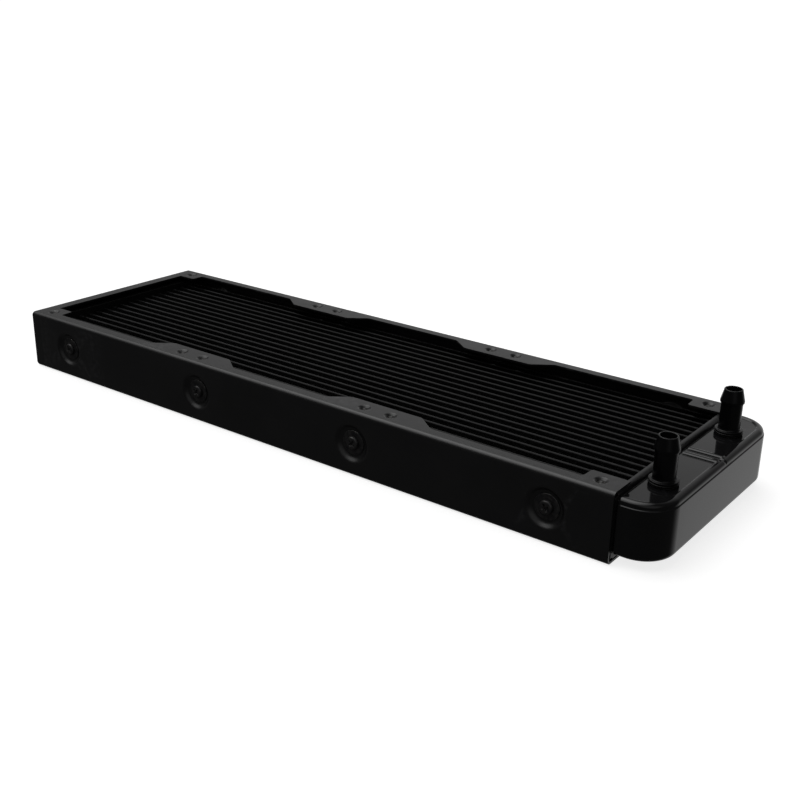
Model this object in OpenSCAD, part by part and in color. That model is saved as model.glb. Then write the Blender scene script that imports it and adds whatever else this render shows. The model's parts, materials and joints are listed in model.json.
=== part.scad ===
// Flat-tube liquid cooling radiator for three 120 mm fans.
// Origin: middle of the underside, at the centre of the middle fan place. +X towards the hose barbs, +Z up.

/* [Fan places] */
// Number of fan places in a row
fan_count = 3; // [2:1:4]
// Fan size, which is also the spacing of the fan places
fan_size = 120; // [118:1:140]
// Spacing of one fan's four screw holes
fan_hole_spacing = 105; // [102:0.5:106]
// Diameter of a fan screw hole, for a number 6 screw
fan_hole_d = 3.5; // [3:0.1:4.5]

/* [Sheet frame] */
// Thickness of the whole radiator
frame_h = 32; // [28:1:45]
// Thickness of the frame's sheet metal
sheet = 1; // [0.8:0.1:1.5]
// Outer radius of the folds
fold_r = 2.5; // [1.5:0.5:4]
// Frame length beyond the outer fan place at the port end
end_margin = 2; // [1:0.5:8]
// Frame length beyond the outer fan place at the return end
cover_margin = 4; // [2:0.5:6]
// Depth of the pressed end cover at the return end
cover_depth = 8; // [6:0.5:10]
// Width of the narrow stretch of a rail's flange
flange_w = 6.5; // [5:0.5:9]
// Width of the flange where it widens round the fan holes
tab_w = 14; // [10:0.5:18]
// Length of the flat top of the tab between two fans
tab_l = 40; // [30:1:60]
// Length of each sloping end of a tab
tab_slope = 10; // [4:1:15]
// Length of the corner tabs
corner_tab_l = 17; // [14:1:24]

/* [Rail dimples] */
// Dimples along each rail
dimple_count = 4; // [2:1:4]
// Distance between neighbouring dimples
dimple_pitch = 101.5; // [60:0.5:110]
// Diameter of a dimple at the rail's face
dimple_d = 18.5; // [14:0.5:22]
// Depth of a dimple
dimple_depth = 2; // [1:0.5:2]
// Washer diameter
washer_d = 12; // [8:0.5:13]
// Screw head diameter
screw_head_d = 6.6; // [5:0.2:8]
// Screw shank diameter
screw_d = 3; // [2.5:0.1:4]

/* [Core] */
// Number of flat coolant tubes
tube_count = 18; // [10:2:18]
// Distance between tube centres
tube_pitch = 6; // [5:0.25:6]
// Thickness of a flat tube
tube_t = 1.6; // [1.5:0.1:2.6]
// Width of a flat tube, which is the depth of the core
tube_w = 18; // [14:1:18]
// Wall thickness of a flat tube
tube_wall = 0.3; // [0.2:0.05:0.5]
// Length of one fold of a fin strip
fin_pitch = 5.85; // [3.9:0.05:12]
// Thickness of a fin strip's sheet
fin_t = 0.3; // [0.2:0.05:0.5]
// Thickness of the plates along the core's long sides
core_plate_t = 1; // [0.8:0.1:1.5]

/* [Header plates] */
// Thickness of the header plates
header_t = 1.2; // [1:0.1:2]
// Length of the port header plate's folded lips
header_lip = 1.2; // [1:0.2:6]
// Distance that the port header plate stands out beyond the rail ends
header_out = 0.2; // [0.1:0.1:0.6]

/* [Port tank] */
// Width of the port tank across the radiator
tank_w = 115.6; // [100:0.2:116]
// Height of the port tank
tank_h = 25.5; // [24:0.5:27]
// Height of the port tank's underside above the frame's underside
tank_z = 3.75; // [3:0.25:4.5]
// Length of the port tank along the radiator
tank_l = 19.5; // [16:0.5:30]
// Wall thickness of the tanks
tank_wall = 2; // [1.5:0.1:3]
// Radius of the port tank's upright corners
tank_corner_r = 15; // [8:0.5:15]
// Radius of the port tank's upper and lower edges
tank_edge_r = 2.5; // [1:0.5:3]
// Width of the raised rim round the tank's top
rim_w = 4; // [2.5:0.5:6]
// Height of the rim above the tank's top panels
rim_h = 0.6; // [0.3:0.1:1]
// Width of each of the two ridges across the tank's top
ridge_w = 2; // [1:0.2:3]
// Width of the groove between the two ridges
groove_w = 3.8; // [1:0.2:5]
// Distance of the pair of ridges from the tank's middle
ridge_shift = 3; // [0:0.5:6]
// Thickness of the tank gasket
gasket_t = 0.6; // [0.5:0.1:1.2]
// Depth of the return tank
return_tank_l = 7.8; // [6:0.2:12]

/* [Hose barbs] */
// Distance of the barbs from the middle of the tank
barb_offset = 33.2; // [20:0.2:42]
// Distance from the tank's back face to the barb axis
barb_setback = 7.4; // [7:0.2:8]
// Height of a barb's tip above the tank's top panel
barb_h = 21.1; // [16:0.1:30]
// Diameter of the straight barrel, for hose of the same inside diameter
barrel_d = 9.5; // [8:0.1:10]
// Largest diameter of the barb
barb_d = 10.6; // [10:0.1:12]
// Diameter at the tip
tip_d = 8; // [7.4:0.1:9]
// Diameter of the passage through the barb
barb_bore_d = 6.8; // [4:0.1:7]
// Length of the barb's cone
cone_l = 5.2; // [3:0.2:8]
// Length of the straight land at the cone's foot
land_l = 1; // [0.6:0.1:2]
// Diameter of the collar
collar_d = 12.6; // [11:0.1:14]
// Thickness of the collar
collar_t = 1.9; // [1:0.1:3]
// Diameter of the threaded foot below the collar
foot_d = 9; // [8:0.1:9.4]
// Thickness of the seal under the collar
seal_t = 0.6; // [0.4:0.1:1]

/* [Hidden] */
$fn = 64;
eps = 0.01;
collar_h = 1.5;
collar_wall = 0.9;
dimple_wall = 0.6;

frame_l = fan_count * fan_size + end_margin + cover_margin;
frame_w = fan_size;
x_left = -fan_count * fan_size / 2 - cover_margin;
x_right = fan_count * fan_size / 2 + end_margin;
x_mid = (x_left + x_right) / 2;
y_out = frame_w / 2;
z_mid = frame_h / 2;
x_rail = x_left + cover_depth;

// Header plates and tanks along the radiator
port_header_x = x_right + header_out - header_t;
gasket_x = port_header_x + header_t;
tank_x = gasket_x + gasket_t;
tank_end_x = tank_x + tank_l;
return_tank_x = x_left + sheet;
return_header_x = return_tank_x + return_tank_l - header_t;
return_w = 2 * (y_out - sheet) - 4;
return_h = frame_h - 8;
header_w = 2 * (y_out - sheet) - 1;

// Core
tube_stick = 1.8;
core_x0 = return_header_x + header_t;
core_l = port_header_x - core_x0;
fin_h = tube_pitch - tube_t;
fin_count = tube_count + 1;
fin_w = tube_w - 1;
core_plate_y = tube_count * tube_pitch / 2 + fin_h / 2;
half_folds = 2 * floor((core_l - 2) / fin_pitch);
fold_dx = fin_pitch / 2;
notch = fin_t * fin_h / fin_pitch;

// Fasteners
screw_clear = 0.1;
dimple_floor_r = washer_d / 2 + 0.5;
washer_t = 0.5;
head_h = dimple_depth - washer_t;
head_dome_r = 5;
cross_w = 1;
cross_l = 3.6;
cross_depth = 0.9;

// Port tank and barbs
tank_top = tank_z + tank_h;
panel_z = tank_top - rim_h;
barb_x = tank_x + barb_setback;
boss_r = 6;
boss_h = 1.2;
foot_l = seal_t + tank_wall + boss_h;
foot_clear = 0.05;
divider_t = 1.6;
gasket_inset = 1.6;
window_h = tube_w + 2;

function numbered(name, i) = str(name, "_", i < 10 ? "0" : "", i);
function tube_y(i) = (i - (tube_count + 1) / 2) * tube_pitch;
function fin_y(i) = (i - (fin_count + 1) / 2) * tube_pitch;
function dimple_x(i) = (i - (dimple_count - 1) / 2) * dimple_pitch;
function fan_x(i) = (i - (fan_count - 1) / 2) * fan_size;

// A rectangle with round corners, centred
module rounded_rect(size_x, size_y, r) {
    square([size_x - 2 * r, size_y], center = true);
    square([size_x, size_y - 2 * r], center = true);
    for (sx = [-1, 1])
        for (sy = [-1, 1])
            translate([sx * (size_x / 2 - r), sy * (size_y / 2 - r)]) circle(r);
}

// A prism along X whose section is a rounded rectangle in Y and Z, centred on mid height
module prism_x(x0, length, size_y, size_z, r) {
    translate([x0, 0, z_mid])
        rotate([90, 0, 90])
            linear_extrude(length) rounded_rect(size_y, size_z, r);
}

// ---- Frame ----

// Outline of the widened tab between two fans, from the flange's edge inwards
module middle_tab() {
    polygon([
        [-tab_l / 2 - tab_slope, flange_w - 1],
        [-tab_l / 2 - tab_slope, flange_w],
        [-tab_l / 2, tab_w],
        [tab_l / 2, tab_w],
        [tab_l / 2 + tab_slope, flange_w],
        [tab_l / 2 + tab_slope, flange_w - 1]
    ]);
}

// Outline of a corner tab that starts at x = 0 and runs l towards +X, with one round inner corner
module corner_tab(l) {
    r = 3;
    translate([0, flange_w - 1]) square([l - r, tab_w - flange_w + 1]);
    translate([0, flange_w - 1]) square([l, tab_w - flange_w + 1 - r]);
    translate([l - r, tab_w - r]) circle(r);
}

// The flange of the front rail as one flat outline, y measured inwards from the rail's face
module flange_outline() {
    translate([x_rail, fold_r]) square([x_right - x_rail, flange_w - fold_r]);
    for (i = [0 : fan_count - 2])
        translate([fan_x(i) + fan_size / 2, 0]) middle_tab();
    translate([x_right, 0]) mirror([1, 0]) corner_tab(corner_tab_l);
    // the tab beside the end cover ends as far from its fan hole as the other corner tab
    translate([x_rail, 0]) corner_tab(corner_tab_l + cover_margin - end_margin - cover_depth);
}

// Places something at every fan screw hole along one rail
module at_rail_fan_holes() {
    for (i = [0 : fan_count - 1])
        for (side = [-1, 1])
            translate([fan_x(i) + side * fan_hole_spacing / 2, y_out - fan_hole_spacing / 2, 0])
                children();
}

// Rail at y = 0 facing -Y, with y measured inwards
module rail() {
    difference() {
        union() {
            // folded channel, kept to the strip beside the face
            intersection() {
                translate([0, y_out, 0])
                    difference() {
                        prism_x(x_rail, x_right - x_rail, frame_w, frame_h, fold_r);
                        prism_x(x_rail - 1, x_right - x_rail + 2, frame_w - 2 * sheet,
                                frame_h - 2 * sheet, fold_r - sheet);
                    }
                translate([x_rail, 0, 0]) cube([x_right - x_rail, fold_r, frame_h]);
            }
            // flanges
            linear_extrude(sheet) flange_outline();
            translate([0, 0, frame_h - sheet]) linear_extrude(sheet) flange_outline();
            // drawn collars round the fan holes
            at_rail_fan_holes()
                for (z = [sheet - eps, frame_h - sheet - collar_h + eps])
                    translate([0, 0, z]) cylinder(h = collar_h, d = fan_hole_d + 2 * collar_wall);
            // backs of the dimples
            for (i = [0 : dimple_count - 1])
                translate([dimple_x(i), sheet + dimple_depth, z_mid])
                    rotate([90, 0, 0])
                        cylinder(h = dimple_depth + sheet / 2, r1 = dimple_floor_r + dimple_wall,
                                 r2 = dimple_d / 2 + dimple_wall);
        }
        at_rail_fan_holes() translate([0, 0, -1]) cylinder(h = frame_h + 2, d = fan_hole_d);
        for (i = [0 : dimple_count - 1])
            translate([dimple_x(i), 0, z_mid])
                rotate([-90, 0, 0]) {
                    cylinder(h = dimple_depth, r1 = dimple_d / 2, r2 = dimple_floor_r);
                    cylinder(h = dimple_depth + 2 * sheet, d = screw_d + 2 * screw_clear);
                }
    }
}

module front_side_rail() {
    color([0.09, 0.09, 0.1]) translate([0, -y_out, 0]) rail();
}

module rear_side_rail() {
    color([0.09, 0.09, 0.1]) mirror([0, 1, 0]) translate([0, -y_out, 0]) rail();
}

// Pressed cap that closes the return end, open towards the rails
module return_end_cover() {
    color([0.09, 0.09, 0.1])
        difference() {
            intersection() {
                prism_x(x_left, cover_depth, frame_w, frame_h, fold_r);
                translate([x_mid, 0, -1])
                    linear_extrude(frame_h + 2) rounded_rect(frame_l, frame_w, fold_r);
            }
            intersection() {
                prism_x(x_left + sheet, cover_depth, frame_w - 2 * sheet, frame_h - 2 * sheet,
                        fold_r - sheet);
                translate([x_mid, 0, 0])
                    linear_extrude(frame_h)
                        rounded_rect(frame_l - 2 * sheet, frame_w - 2 * sheet, fold_r - sheet);
            }
        }
}

// ---- Headers ----

// Slots for the flat tubes
module tube_slots(x0, length) {
    for (i = [1 : tube_count])
        translate([x0, tube_y(i), z_mid]) flat_tube_solid(length, tube_t, tube_w);
}

// Cross plate that the tubes end in at the port end, with lips folded over above and below
module port_header() {
    color([0.12, 0.12, 0.13])
        difference() {
            prism_x(port_header_x - header_lip, header_lip + header_t, header_w, frame_h - 2 * sheet, 2);
            translate([port_header_x - header_lip - 1, -header_w / 2 - 1, sheet + header_t])
                cube([header_lip + 1, header_w + 2, frame_h - 2 * sheet - 2 * header_t]);
            tube_slots(port_header_x - 1, header_t + 2);
        }
}

module return_header() {
    color([0.12, 0.12, 0.13])
        difference() {
            prism_x(return_header_x, header_t, return_w, return_h, 2);
            tube_slots(return_header_x - 1, header_t + 2);
        }
}

// ---- Core ----

// Flat bar along X with round edges, centred in Y and Z
module flat_tube_solid(length, t, w) {
    rotate([90, 0, 90])
        linear_extrude(length) {
            square([t, w - t], center = true);
            for (s = [-1, 1]) translate([0, s * (w - t) / 2]) circle(d = t);
        }
}

module flat_tube(i) {
    x0 = return_header_x - tube_stick;
    length = gasket_x + tube_stick - x0;
    color([0.16, 0.16, 0.17])
        translate([x0, tube_y(i), z_mid])
            difference() {
                flat_tube_solid(length, tube_t, tube_w);
                translate([-1, 0, 0])
                    flat_tube_solid(length + 2, tube_t - 2 * tube_wall, tube_w - 2 * tube_wall);
            }
}

// Zigzag outline of a fin strip: each crest has two outer points and one inner notch point
function crest_y(k) = (k % 2 == 0 ? -1 : 1) * fin_h / 2;
function right_side(k) = k % 2 == 0
    ? [[k * fold_dx, crest_y(k) + notch]]
    : [[k * fold_dx - fin_t / 2, crest_y(k)], [k * fold_dx + fin_t / 2, crest_y(k)]];
function left_side(k) = k % 2 == 0
    ? [[k * fold_dx + fin_t / 2, crest_y(k)], [k * fold_dx - fin_t / 2, crest_y(k)]]
    : [[k * fold_dx, crest_y(k) - notch]];

module fin_strip(i) {
    outline = concat(
        [for (k = [0 : half_folds]) each right_side(k)],
        [for (k = [half_folds : -1 : 0]) each left_side(k)]
    );
    strip_l = half_folds * fold_dx;
    color([0.06, 0.06, 0.07])
        translate([core_x0 + (core_l - strip_l) / 2, fin_y(i), z_mid - fin_w / 2])
            linear_extrude(fin_w) polygon(outline);
}

// Flat plate along the core's long side, drilled for the rail screws
module core_plate() {
    difference() {
        translate([core_x0, core_plate_y, z_mid - tube_w / 2]) cube([core_l, core_plate_t, tube_w]);
        for (i = [0 : dimple_count - 1])
            translate([dimple_x(i), core_plate_y - 1, z_mid])
                rotate([-90, 0, 0]) cylinder(h = core_plate_t + 2, d = screw_d + screw_clear);
    }
}

module front_core_plate() {
    color([0.12, 0.12, 0.13]) mirror([0, 1, 0]) core_plate();
}

module rear_core_plate() {
    color([0.12, 0.12, 0.13]) core_plate();
}

// ---- Tanks ----

// Shallow tank behind the return header, open towards it
module return_tank() {
    l = return_tank_l - header_t;
    color([0.12, 0.12, 0.13])
        difference() {
            prism_x(return_tank_x, l, return_w, return_h, 2);
            prism_x(return_tank_x + tank_wall / 2, l, return_w - tank_wall, return_h - tank_wall, 1);
        }
}

// Half section with both right corners round, from x = 0 to x = w
module edge_section(w, h, r) {
    square([w - r, h]);
    translate([0, r]) square([w, h - 2 * r]);
    for (y = [r, h - r]) translate([w - r, y]) circle(r);
}

// Outer body of the port tank with round upright corners and round upper and lower edges
module tank_body() {
    corner_x = tank_end_x - tank_corner_r;
    corner_y = tank_w / 2 - tank_corner_r;
    // straight end face
    translate([corner_x, corner_y, tank_z])
        rotate([90, 0, 0])
            linear_extrude(2 * corner_y) edge_section(tank_corner_r, tank_h, tank_edge_r);
    // corners
    for (s = [-1, 1])
        translate([corner_x, s * corner_y, tank_z])
            rotate_extrude() edge_section(tank_corner_r, tank_h, tank_edge_r);
    // block against the gasket
    translate([0, 0, tank_z + tank_h / 2 - z_mid])
        prism_x(tank_x, corner_x - tank_x, tank_w, tank_h, tank_edge_r);
    translate([tank_x, -corner_y, tank_z]) cube([corner_x - tank_x + 1, 2 * corner_y, tank_h]);
}

// Plan outline of the port tank, moved inwards by inset
module tank_plan(inset) {
    r = tank_corner_r - inset;
    w = tank_w - 2 * inset;
    x1 = tank_end_x - inset;
    translate([tank_x - 1, -w / 2]) square([x1 - r - tank_x + 1, w]);
    translate([tank_x - 1, -w / 2 + r]) square([x1 - tank_x + 1, w - 2 * r]);
    for (s = [-1, 1]) translate([x1 - r, s * (w / 2 - r)]) circle(r);
}

module port_tank() {
    color([0.05, 0.05, 0.055])
        difference() {
            tank_shell();
            // ports
            for (s = [-1, 1])
                translate([barb_x, s * barb_offset, z_mid])
                    cylinder(h = frame_h, d = foot_d + 2 * foot_clear);
        }
}

// The tank without its ports: hollow, with top panels sunk below the rim and the two ridges
module tank_shell() {
    difference() {
        tank_body();
        // open side against the gasket
        translate([tank_x - frame_h, -frame_w / 2, 0]) cube([frame_h, frame_w, frame_h]);
        // inside
        difference() {
            translate([0, 0, tank_z + tank_wall])
                linear_extrude(tank_h - 2 * tank_wall - rim_h) tank_plan(tank_wall);
            for (s = [-1, 1])
                translate([barb_x, s * barb_offset, panel_z - tank_wall - boss_h])
                    cylinder(h = 10, r = boss_r);
        }
        // sunken top panels
        translate([0, 0, panel_z])
            linear_extrude(2)
                difference() {
                    tank_plan(rim_w);
                    for (s = [-1, 1])
                        translate([tank_x - 2, ridge_shift + s * (groove_w + ridge_w) / 2 - ridge_w / 2])
                            square([tank_l + 4, ridge_w]);
                }
    }
}

// Upright plate that parts the inlet side of the port tank from the outlet side
module tank_divider() {
    h = tank_h - 2 * tank_wall - rim_h;
    color([0.3, 0.3, 0.32])
        translate([tank_x, -divider_t / 2, tank_z + tank_wall]) cube([tank_l - tank_wall, divider_t, h]);
}

// Flat gasket between port header and tank, with a bar across under the divider
module tank_gasket() {
    color([0.03, 0.03, 0.03])
        difference() {
            translate([0, 0, tank_z + tank_h / 2 - z_mid])
                prism_x(gasket_x, gasket_t, tank_w - gasket_inset, tank_h - gasket_inset, 2);
            for (side = [0, 1])
                mirror([0, side, 0])
                    translate([gasket_x - 1, divider_t / 2, z_mid - window_h / 2])
                        cube([gasket_t + 2, (tank_w - divider_t) / 2 - tank_wall, window_h]);
        }
}

// ---- Hose barbs ----

module hose_barb() {
    z_seat = panel_z + seal_t;
    z_tip = panel_z + barb_h;
    z_land = z_tip - cone_l - land_l;
    profile = [
        [barb_bore_d / 2, z_seat - foot_l],
        [foot_d / 2, z_seat - foot_l],
        [foot_d / 2, z_seat],
        [collar_d / 2, z_seat],
        [collar_d / 2, z_seat + collar_t],
        [barrel_d / 2, z_seat + collar_t],
        [barrel_d / 2, z_land],
        [barb_d / 2, z_land],
        [barb_d / 2, z_land + land_l],
        [tip_d / 2, z_tip],
        [barb_bore_d / 2, z_tip]
    ];
    color([0.04, 0.04, 0.045]) translate([barb_x, 0, 0]) rotate_extrude() polygon(profile);
}

module barb_seal() {
    color([0.02, 0.02, 0.02])
        translate([barb_x, 0, panel_z])
            difference() {
                cylinder(h = seal_t, d = collar_d - 0.8);
                translate([0, 0, -1]) cylinder(h = seal_t + 2, d = foot_d);
            }
}

module inlet_barb() {
    translate([0, -barb_offset, 0]) hose_barb();
}

module outlet_barb() {
    translate([0, barb_offset, 0]) hose_barb();
}

module inlet_barb_seal() {
    translate([0, -barb_offset, 0]) barb_seal();
}

module outlet_barb_seal() {
    translate([0, barb_offset, 0]) barb_seal();
}

// ---- Rail fasteners ----

// Places something at every dimple, with z pointing out of the rail from the dimple's floor
module at_dimples() {
    for (side = [0, 1])
        for (i = [0 : dimple_count - 1])
            mirror([0, side, 0])
                translate([dimple_x(i), -y_out + dimple_depth, z_mid]) rotate([90, 0, 0]) children();
}

// Pan-head screw with a cross recess, whose point is flush with the inner face of the core plate
module rail_screw() {
    shank_l = washer_t + sheet + core_plate_t;
    difference() {
        union() {
            translate([0, 0, washer_t])
                rotate_extrude()
                    intersection() {
                        square([screw_head_d / 2, head_h]);
                        translate([0, head_h - head_dome_r]) circle(head_dome_r);
                    }
            translate([0, 0, washer_t - shank_l]) cylinder(h = shank_l, d = screw_d);
        }
        for (a = [0, 90])
            rotate(a)
                translate([-cross_l / 2, -cross_w / 2, washer_t + head_h - cross_depth])
                    cube([cross_l, cross_w, 2]);
    }
}

module rail_screws() {
    color([0.07, 0.07, 0.08]) at_dimples() rail_screw();
}

module rail_washers() {
    color([0.1, 0.1, 0.11])
        at_dimples()
            difference() {
                cylinder(h = washer_t, d = washer_d);
                translate([0, 0, -1]) cylinder(h = washer_t + 2, d = screw_d + 2 * screw_clear);
            }
}

front_side_rail();
rear_side_rail();
return_end_cover();
port_header();
return_header();
return_tank();
port_tank();
tank_divider();
tank_gasket();
front_core_plate();
rear_core_plate();
inlet_barb();
outlet_barb();
inlet_barb_seal();
outlet_barb_seal();
rail_screws();
rail_washers();
for (i = [1 : tube_count])
    flat_tube(i);
for (i = [1 : fin_count])
    fin_strip(i);
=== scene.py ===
import json
import math
import random

import bmesh
import bpy
from mathutils import Matrix, Vector
from mathutils.geometry import delaunay_2d_cdt


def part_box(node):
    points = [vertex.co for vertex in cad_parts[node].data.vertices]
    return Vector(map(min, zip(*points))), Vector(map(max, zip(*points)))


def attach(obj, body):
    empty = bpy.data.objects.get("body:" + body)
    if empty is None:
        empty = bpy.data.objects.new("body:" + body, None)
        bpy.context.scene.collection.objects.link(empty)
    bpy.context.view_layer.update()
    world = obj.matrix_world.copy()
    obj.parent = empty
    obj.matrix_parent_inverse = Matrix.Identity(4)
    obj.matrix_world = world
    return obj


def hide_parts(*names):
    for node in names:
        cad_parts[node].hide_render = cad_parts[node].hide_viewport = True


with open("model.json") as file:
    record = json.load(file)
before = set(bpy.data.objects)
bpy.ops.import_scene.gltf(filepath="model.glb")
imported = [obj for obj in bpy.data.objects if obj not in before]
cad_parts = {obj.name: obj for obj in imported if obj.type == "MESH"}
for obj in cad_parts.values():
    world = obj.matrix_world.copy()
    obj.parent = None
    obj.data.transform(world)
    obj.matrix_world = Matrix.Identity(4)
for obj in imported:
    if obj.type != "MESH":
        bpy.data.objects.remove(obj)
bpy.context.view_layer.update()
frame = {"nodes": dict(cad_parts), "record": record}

# ---------------------------------------------------------------- sizes, in millimetres

MM = 0.001


def box(node):
    """Lowest and highest corner of a CAD node, in millimetres."""
    lo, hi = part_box(node)
    return lo / MM, hi / MM


rail_lo, rail_hi = box("front_side_rail")
cover_lo, cover_hi = box("return_end_cover")
header_lo, header_hi = box("port_header")
return_header_lo, return_header_hi = box("return_header")
return_tank_lo, return_tank_hi = box("return_tank")
tank_lo, tank_hi = box("port_tank")
gasket_lo, gasket_hi = box("tank_gasket")
fin_lo, fin_hi = box("fin_01")
barb_lo, barb_hi = box("outlet_barb")
seal_hi = box("outlet_barb_seal")[1]
washer_lo, washer_hi = box("rail_washers")

TUBES = sorted(n for n in frame["nodes"] if n.startswith("tube_"))
FINS = sorted(n for n in frame["nodes"] if n.startswith("fin_"))
FAN_MOUNTS = [m for m in frame["record"]["mounts"] if m["name"].startswith("top_fan")]
HOLE_REACH = FAN_MOUNTS[0]["dims"]["spacing_x_mm"] / 2

FRAME_H = rail_hi.z
FACE_Y = -rail_lo.y
MID_Z = FRAME_H / 2

# the frame's sheet: thickness, outer radius of its folds, and how far apart its cross lines stand
SHEET = 1.0
FOLD_R = 2.2
FOLD_STEPS = 8
STATION = 15.0

# flange widths, measured inwards from the rail's face, and the tabs between two fans and at the corners
NARROW = 6.5
WIDE = rail_hi.y + FACE_Y
TAB_HALF = 20.0
TAB_SLOPE = 10.0
PAST_HOLE = 7.5
CORNER_SLOPE = 0.4
TAB_ROUND = 1.3

# fan screw holes: radius and depth below the flange, from the dished lip down to the collar's thread
HOLE_STEPS = 48
HOLE_PROFILE = [(3.4, 0.0), (3.2, 0.04), (2.9, 0.18), (2.6, 0.4), (2.35, 0.62), (2.1, 0.8), (1.9, 0.95),
                (1.82, 1.1)]
THREAD_PITCH = 0.4
THREAD_R = (1.78, 1.66)
THREAD_TURNS = 4

# dimples: radius and depth
DIMPLE_XS = [-152.25, -50.75, 50.75, 152.25]
DIMPLE_DEPTH = 2.0
DIMPLE_PROFILE = [(10.0, 0.0), (9.6, 0.04), (9.2, 0.16), (8.8, 0.42), (8.4, 0.8), (8.0, 1.2),
                  (7.6, 1.56), (7.2, 1.82), (6.8, 1.95), (6.4, DIMPLE_DEPTH), (4.0, DIMPLE_DEPTH),
                  (1.7, DIMPLE_DEPTH)]

# a quarter turn in six steps
SIX_STEPS = [math.radians(15 * i) for i in range(7)]

# ---------------------------------------------------------------- mesh making


def arc(centre, radius, start, end, steps):
    """Points of an arc, angles in degrees."""
    angles = [math.radians(start + (end - start) * i / steps) for i in range(steps + 1)]
    return [(centre[0] + radius * math.cos(a), centre[1] + radius * math.sin(a)) for a in angles]


def circle(centre, radius, steps):
    return arc(centre, radius, 0, 360, steps)[:-1]


def spread(start, end, step):
    """Evenly spaced values from start to end, about step apart."""
    count = max(1, round(abs(end - start) / step))
    return [start + (end - start) * i / count for i in range(count + 1)]


def rounded(corners, radius, steps=5):
    """An open line of 2D points whose inner corners are turned into short curves."""
    points = [corners[0]]
    for before, corner, after in zip(corners, corners[1:], corners[2:]):
        a, p, b = Vector(before), Vector(corner), Vector(after)
        reach = min(radius, (a - p).length * 0.45, (b - p).length * 0.45)
        start, end = p + (a - p).normalized() * reach, p + (b - p).normalized() * reach
        for i in range(steps + 1):
            t = i / steps
            q = start * (1 - t) ** 2 + p * 2 * t * (1 - t) + end * t ** 2
            points.append((q.x, q.y))
    points.append(corners[-1])
    return points


def inside(point, loop):
    """True when a 2D point lies in a closed loop."""
    hit = False
    for (x0, y0), (x1, y1) in zip(loop, loop[1:] + loop[:1]):
        if (y0 > point[1]) != (y1 > point[1]):
            if point[0] < x0 + (point[1] - y0) * (x1 - x0) / (y1 - y0):
                hit = not hit
    return hit


def stadium(thick, wide, centre_y, centre_z, steps=8):
    """Section of a flat tube in Y and Z: two half circles joined by straight sides."""
    r, reach = thick / 2, (wide - thick) / 2
    return (arc((centre_y, centre_z + reach), r, 0, 180, steps)
            + arc((centre_y, centre_z - reach), r, 180, 360, steps))


class Skin:
    """A surface whose faces share their points, in millimetres. finish numbers the next faces' material."""

    def __init__(self):
        self.points = []
        self.index = {}
        self.faces = []
        self.finishes = []
        self.finish = 0

    def point(self, p):
        """Number of a point, which is new only when no other lies there."""
        key = tuple(round(c, 4) for c in p)
        if key not in self.index:
            self.index[key] = len(self.points)
            self.points.append(Vector(p))
        return self.index[key]

    def face(self, corners):
        """A face, unless its corners fall together into a line or a point."""
        ids = []
        for corner in corners:
            i = self.point(corner)
            if i not in ids:
                ids.append(i)
        if len(ids) > 2:
            self.faces.append(ids)
            self.finishes.append(self.finish)

    def rows(self, rows, closed=False):
        """Quads between each row of points and the next."""
        for row_a, row_b in zip(rows, rows[1:]):
            pairs = list(zip(row_a, row_b))
            if closed:
                pairs.append(pairs[0])
            for (a0, b0), (a1, b1) in zip(pairs, pairs[1:]):
                self.face([a0, a1, b1, b0])

    def region(self, outline, holes, place):
        """A flat region with holes, from 2D loops. place turns a 2D point into a 3D one."""
        flat, edges = [], []
        for loop in [outline] + holes:
            start, count = len(flat), len(loop)
            flat += [Vector(p) for p in loop]
            edges += [(start + i, start + (i + 1) % count) for i in range(count)]
        corners, _, triangles = delaunay_2d_cdt(flat, edges, [], 1, 1e-6)[:3]
        for triangle in triangles:
            a, b, c = [corners[i] for i in triangle]
            middle = (a + b + c) / 3
            if inside(middle, outline) and not any(inside(middle, hole) for hole in holes):
                self.face([place(p.x, p.y) for p in (a, b, c)])

    def revolve(self, profile, place, steps=64):
        """Rings of (radius, height) about place's own third axis."""
        self.rows([[place(x, y, h) for x, y in circle((0, 0), r, steps)] if r > 0 else
                   [place(0, 0, h)] * steps for r, h in profile], closed=True)


def settle(obj):
    """Turns the object's modifiers into its final mesh."""
    graph = bpy.context.evaluated_depsgraph_get()
    mesh = bpy.data.meshes.new_from_object(obj.evaluated_get(graph))
    obj.modifiers.clear()
    old, obj.data = obj.data, mesh
    bpy.data.meshes.remove(old)
    mesh.name = obj.name


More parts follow.
